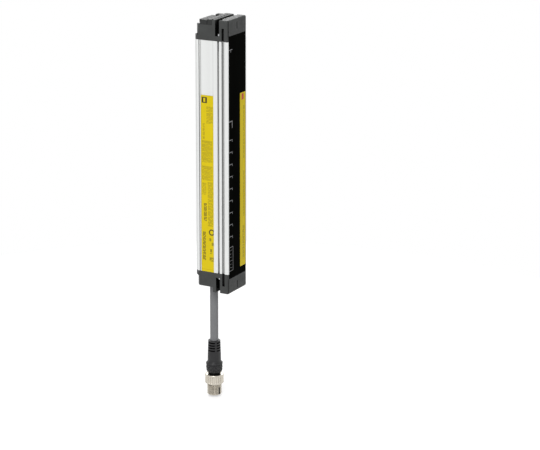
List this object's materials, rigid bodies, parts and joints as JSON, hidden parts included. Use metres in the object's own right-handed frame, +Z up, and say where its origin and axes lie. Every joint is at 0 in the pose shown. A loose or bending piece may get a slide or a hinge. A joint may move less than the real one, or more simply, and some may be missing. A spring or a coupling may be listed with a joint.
{
  "type": "safety light curtain",
  "caption": "Slim square light curtain bar with a black optical window, grey end caps and a short cable ending in a round screw connector.",
  "frame": {"origin": "centre of the flat rear face of the bar, at mid-length", "axes": "+Z up along the bar, +Y out of the rear face, so the window faces -Y; +X to the right seen from the front"},
  "size_m": [0.031, 0.031, 0.3185],
  "materials": {
    "anodised_aluminium": "satin natural anodised, fine drawing lines along the bar",
    "smoked_window": "black infrared filter sheet, high gloss",
    "seal_rubber": "matt black",
    "cap_plastic": "glass-filled dark grey moulding, fine grain",
    "plug_plastic": "dark grey moulding",
    "zinc_steel": "bright zinc",
    "blackened_steel": "blackened",
    "black_moulding": "matt black moulding",
    "clear_lens": "clear polished",
    "emitter_resin": "dark clear resin",
    "lamp_resin": "diffuse",
    "circuit_board": "green solder resist",
    "chip_black": "matt",
    "capacitor_can": "bright can",
    "header_nylon": "natural nylon",
    "lead_sheath": "coloured lead sheaths",
    "cable_jacket": "grey PVC, slight sheen",
    "connector_moulding": "dark grey soft moulding",
    "nickel_plate": "nickel plated brass",
    "carrier_plastic": "black insert",
    "contact_gold": "gold plated",
    "label_yellow": "plain yellow film"
  },
  "bodies": {
    "root": {"housing_extrusion": "anodised_aluminium", "front_window": "smoked_window", "window_seal": "seal_rubber", "top_cap": "cap_plastic", "bottom_cap": "cap_plastic", "top_cap_gasket": "seal_rubber", "bottom_cap_gasket": "seal_rubber", "top_cap_screws": "blackened_steel", "bottom_cap_screws": "blackened_steel", "blanking_plug": "plug_plastic", "plug_seal": "seal_rubber", "plug_screws": "zinc_steel", "optics_frame": "black_moulding", "lens_strip": "clear_lens", "infrared_emitters": "emitter_resin", "indicator_light_pipes": "clear_lens", "status_lamps": "lamp_resin", "emitter_board": "circuit_board", "board_screws": "zinc_steel", "control_chips": "chip_black", "power_capacitors": "capacitor_can", "cable_header": "header_nylon", "inner_leads": "lead_sheath", "cable_bush": "seal_rubber", "cable_clamp": "zinc_steel", "cable": "cable_jacket", "connector_body": "connector_moulding", "contact_carrier": "carrier_plastic", "contact_pins": "contact_gold", "side_label": "label_yellow", "window_label": "label_yellow"},
    "coupling_nut": {"coupling_nut": "nickel_plate"}
  },
  "joints": [
    {"name": "nut_turn", "type": "hinge", "parent": "root", "child": "coupling_nut", "pos_m": [0, -0.009, -0.1971], "axis": [0, 0, 1], "continuous": true}
  ]
}
